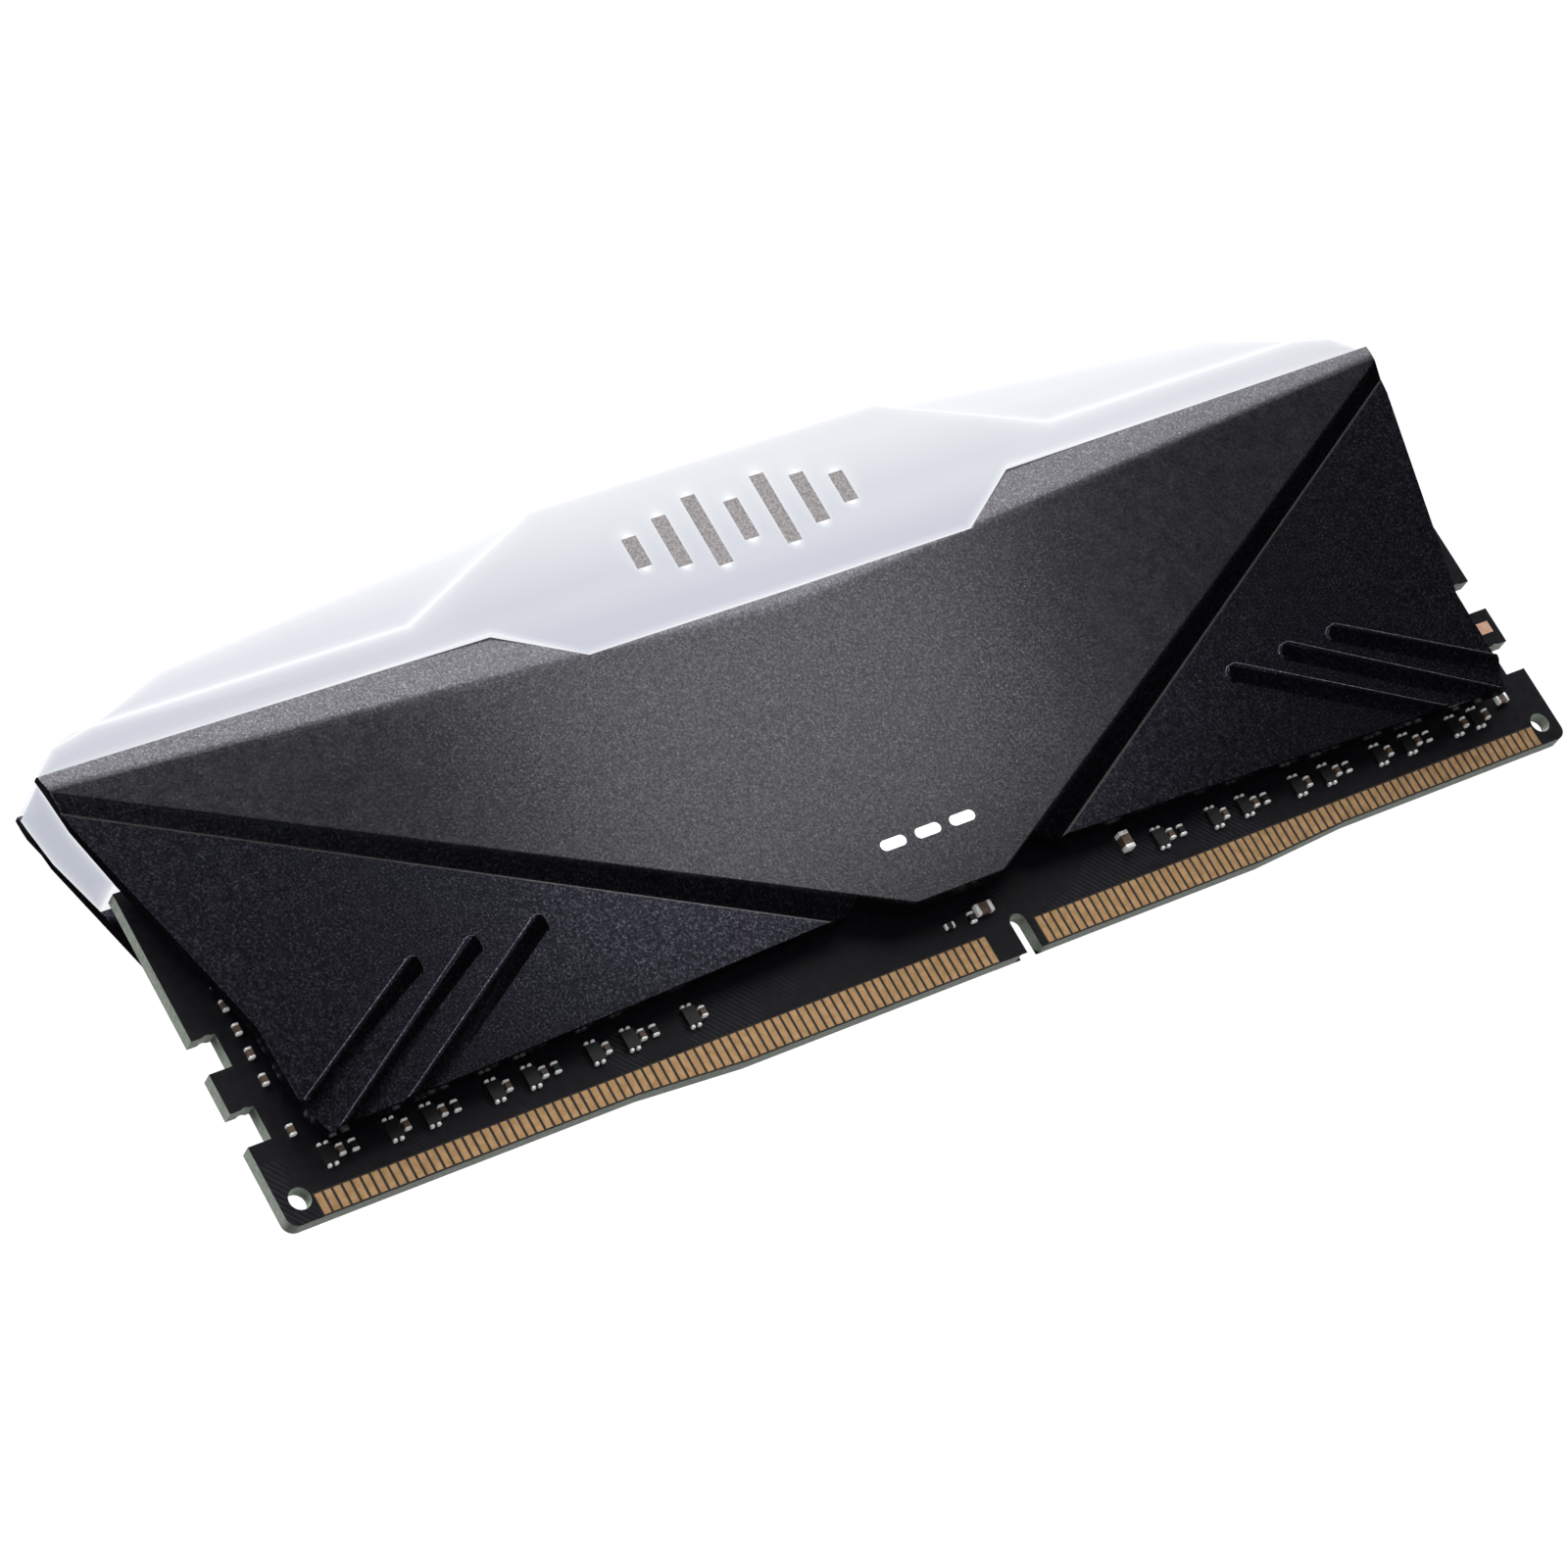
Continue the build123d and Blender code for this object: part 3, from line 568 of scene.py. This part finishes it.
light_bar = copy_node("light_bar", "light_bar_moulding")
light_bar.data.materials.append(opal)
bar_edge_count = weigh_edges(light_bar, math.radians(BAR_SHARP_ANGLE), is_open_bar_edge)
print("bar edges rounded:", bar_edge_count)
round_edges(light_bar, BAR_ROUNDING * MM, by_weight=True)
print("light bar faces:", len(light_bar.data.polygons))


# %% [markdown]
# The board is glass fibre in resin, cut to its outline, so its edge is pale and fibrous, and each
# face has a thin black lacquer with the copper just showing. The small pieces are each one plain
# stuff: gold plate, tin, bare copper, moulded resin, silicone, ceramic or print. One function
# with two close shades and an uneven gloss makes them all, and only laminate, lacquer and the
# pieces with a pattern of their own have more.

# %% Board finishes
def make_simple(name, dark, light, scale, roughness, metallic=0.0, bump=0.0):
    """A finish with two close shades in fine noise and a slightly uneven gloss."""
    material, tree, shader = new_material(name)
    grain = object_noise(tree, scale, 3.0, 0.6)
    tree.links.new(color_ramp(tree, grain, ((0.35, dark), (0.65, light))), shader.inputs["Base Color"])
    gloss = value_range(tree, grain, roughness * 0.85, roughness * 1.15)
    tree.links.new(gloss, shader.inputs["Roughness"])
    shader.inputs["Metallic"].default_value = metallic
    if bump:
        add_bump(tree, shader, grain, bump)
    return material


def add_painted_glow(material, strength):
    """Paint light into a finish: it gives off a little white light of its own, though it is no lamp."""
    shader = material.node_tree.nodes["Principled BSDF"]
    shader.inputs["Emission Color"].default_value = (1, 1, 1, 1)
    shader.inputs["Emission Strength"].default_value = strength


CUT_EDGE_DEPTH = 0.66       # the pale cut edge ends this far from the middle plane, in millimetres


def make_laminate():
    """Pale fibres where the board is cut, a dark varnished skin on its two faces."""
    material, tree, shader = new_material("raw_laminate")
    place = tree.nodes.new("ShaderNodeTexCoord")
    parts = tree.nodes.new("ShaderNodeSeparateXYZ")
    tree.links.new(place.outputs["Object"], parts.inputs[0])
    depth = tree.nodes.new("ShaderNodeMath")
    depth.operation = "ABSOLUTE"
    tree.links.new(parts.outputs["Y"], depth.inputs[0])
    low, high = CUT_EDGE_DEPTH * MM, (CUT_EDGE_DEPTH + 0.03) * MM
    skin_share = value_range(tree, depth.outputs[0], 0.0, 1.0, low, high)
    fibres = object_noise(tree, 2500, 3.0, 0.6)
    cut = color_ramp(tree, fibres, ((0.35, (0.20, 0.235, 0.20)), (0.65, (0.31, 0.345, 0.30))))
    skin = color_ramp(tree, fibres, ((0.35, (0.020, 0.015, 0.012)), (0.65, (0.035, 0.026, 0.020))))
    tree.links.new(mix_colors(tree, skin_share, cut, skin), shader.inputs["Base Color"])
    shader.inputs["Roughness"].default_value = 0.75
    add_bump(tree, shader, fibres, 0.00001)
    return material


laminate = make_laminate()
TRACE_PERIOD = 0.425        # spacing of the traces, half of the contact pitch, in millimetres
TRACE_TOP = 6.5


def make_mask():
    """Black lacquer; slanting copper traces show faintly through it above the contacts."""
    material, tree, shader = new_material("black_solder_mask")
    place = tree.nodes.new("ShaderNodeTexCoord")
    slant = tree.nodes.new("ShaderNodeMapping")
    slant.inputs["Rotation"].default_value = (0, math.radians(38), 0)
    tree.links.new(place.outputs["Object"], slant.inputs["Vector"])
    bands = tree.nodes.new("ShaderNodeTexWave")
    bands.inputs["Scale"].default_value = math.pi / (10 * TRACE_PERIOD * MM)
    tree.links.new(slant.outputs["Vector"], bands.inputs["Vector"])
    trace = value_range(tree, bands.outputs["Fac"], 0.0, 1.0, 0.70, 0.85)
    parts = tree.nodes.new("ShaderNodeSeparateXYZ")
    tree.links.new(place.outputs["Object"], parts.inputs[0])
    low_part = value_range(tree, parts.outputs["Z"], 1.0, 0.0, (TRACE_TOP - 0.5) * MM, TRACE_TOP * MM)
    patches = value_range(tree, object_noise(tree, 110, 1.0), 0.0, 1.0, 0.50, 0.60)
    shown = tree.nodes.new("ShaderNodeMath")
    shown.operation = "MULTIPLY"
    tree.links.new(low_part, shown.inputs[0])
    tree.links.new(patches, shown.inputs[1])
    visible = tree.nodes.new("ShaderNodeMath")
    visible.operation = "MULTIPLY"
    tree.links.new(shown.outputs[0], visible.inputs[0])
    tree.links.new(trace, visible.inputs[1])
    grain = object_noise(tree, 1200, 3.0, 0.6)
    lacquer = color_ramp(tree, grain, ((0.35, (0.005, 0.005, 0.007)), (0.65, (0.008, 0.008, 0.011))))
    over_copper = color_ramp(tree, grain, ((0.35, (0.016, 0.016, 0.021)), (0.65, (0.024, 0.024, 0.030))))
    color = mix_colors(tree, visible.outputs[0], lacquer, over_copper)
    tree.links.new(color, shader.inputs["Base Color"])
    tree.links.new(value_range(tree, grain, 0.38, 0.48), shader.inputs["Roughness"])
    shader.inputs["Specular IOR Level"].default_value = 0.16
    add_bump(tree, shader, visible.outputs[0], 0.00001)
    return material


mask = make_mask()
gold = make_simple("worn_gold", (0.44, 0.27, 0.125), (0.60, 0.385, 0.205), 1500, 0.52, metallic=0.9)
tin = make_simple("soldered_tin", (0.80, 0.80, 0.79), (0.95, 0.95, 0.94), 3000, 0.38, metallic=0.3)
# Painted light: the tin gives off a little white light, standing in for the glints of the shiny solder.
add_painted_glow(tin, 0.1)
copper = make_simple("bare_copper", (0.62, 0.36, 0.24), (0.74, 0.46, 0.32), 2500, 0.5, metallic=0.4)
resin = make_simple("moulded_resin", (0.015, 0.015, 0.015), (0.028, 0.028, 0.028), 3000, 0.6, bump=0.00001)
silicone = make_simple("grey_silicone", (0.20, 0.21, 0.23), (0.27, 0.28, 0.30), 1500, 0.8, bump=0.00002)
ceramic = make_simple("brown_ceramic", (0.10, 0.065, 0.045), (0.16, 0.11, 0.08), 2500, 0.5)
black_glaze = make_simple("black_glaze", (0.006, 0.006, 0.006), (0.012, 0.012, 0.012), 2500, 0.4)
lamp_resin = make_simple("lamp_resin", (0.75, 0.72, 0.5), (0.85, 0.85, 0.75), 2500, 0.4)
emblem_ink = make_simple("speckled_grey_print", (0.20, 0.185, 0.19), (0.46, 0.43, 0.435), 4200, 0.6)
badge_ink = make_simple("white_print", (0.86, 0.86, 0.86), (0.93, 0.93, 0.93), 4200, 0.6)
# Painted light: the white print gives off a little light so that it reads white.
add_painted_glow(badge_ink, 0.35)

# %% [markdown]
# The heat spreaders are pressed from sheet, so their outline and the ribs' steps are a little
# round. The edges of the badge pocket and of the groove under the rim stay sharp.

# %% Round the heat spreaders' edges
SHEET_ROUNDING = 0.12
SHEET_SHARP_ANGLE = 25
WALL_LEAN = 0.35            # a wall's normal has less than this along Y, a face's more
BADGE_BOTTOM, BADGE_TOP = 10.5, 13.5
BADGE_HALF_LENGTH = 6.5
GROOVE_ROOM = 0.6
FOOT_SLOPE = 0.5345         # the groove's line in the front view: z = FOOT_SLOPE * |x| + FOOT_BASE
FOOT_BASE = 1.18
FRONT_LAYER = 2.9           # only edges further out than this are rounded


def is_sheet_edge(middle, sides):
    leans = sorted(abs(normal.y) for normal in sides)
    in_badge = abs(middle.x) < BADGE_HALF_LENGTH and BADGE_BOTTOM < middle.z < BADGE_TOP
    from_groove = abs(middle.z - FOOT_SLOPE * abs(middle.x) - FOOT_BASE)
    return (leans[0] < WALL_LEAN < leans[1] and abs(middle.y) > FRONT_LAYER
            and not in_badge and from_groove > GROOVE_ROOM)


for side in ("front", "rear"):
    spreader = copy_node("heat_spreader_" + side, "spreader_sheet_" + side)
    spreader.data.materials.append(powder_coat)
    sheet_edge_count = weigh_edges(spreader, math.radians(SHEET_SHARP_ANGLE), is_sheet_edge)
    print("sheet edges rounded:", sheet_edge_count)
    round_edges(spreader, SHEET_ROUNDING * MM, by_weight=True)
    print("spreader faces:", len(spreader.data.polygons))

# %% [markdown]
# The metal ends of the small parts are wetted with solder, which leaves them soft and shiny.
# Each end is a block in the CAD model, and a copy of the node rounds all of its blocks at once.

# %% Soldered ends
SOLDER_ROUNDING = 0.08
for name in [n for n in nodes if n.endswith("_ends") or "_ends_" in n]:
    ends = copy_node(name, "soldered_" + name)
    ends.data.materials.append(tin)
    round_edges(ends, SOLDER_ROUNDING * MM, by_weight=False)
    print(ends.name, "faces:", len(ends.data.polygons))

# %% [markdown]
# Every other piece keeps its CAD shape, as small flat blocks need no more, and only takes its
# finish. The names of the nodes say what each piece is, so a loop picks the finish from the name.

# %% Dress the rest
dress(laminate, "circuit_board")
dress(mask, "solder_mask_front", "solder_mask_rear")
for name in nodes:
    if name.startswith("contacts_"):
        dress(gold, name)
    elif name == "ground_pad":
        dress(copper, name)
    elif name.startswith("memory_chip") or name in ("settings_chip", "light_controller"):
        dress(resin, name)
    elif name.startswith("thermal_pad"):
        dress(silicone, name)
    elif name.startswith("lamp_"):
        dress(lamp_resin, name)
    elif "_ends" in name:
        continue
    elif name.startswith(("resistor", "key_bead")):
        dress(black_glaze, name)
    elif "capacitor" in name:
        dress(ceramic, name)
    elif name.startswith("emblem"):
        dress(emblem_ink, name)
    elif name.startswith("badge"):
        dress(badge_ink, name)
print("finishes:", [m.name for m in bpy.data.materials])
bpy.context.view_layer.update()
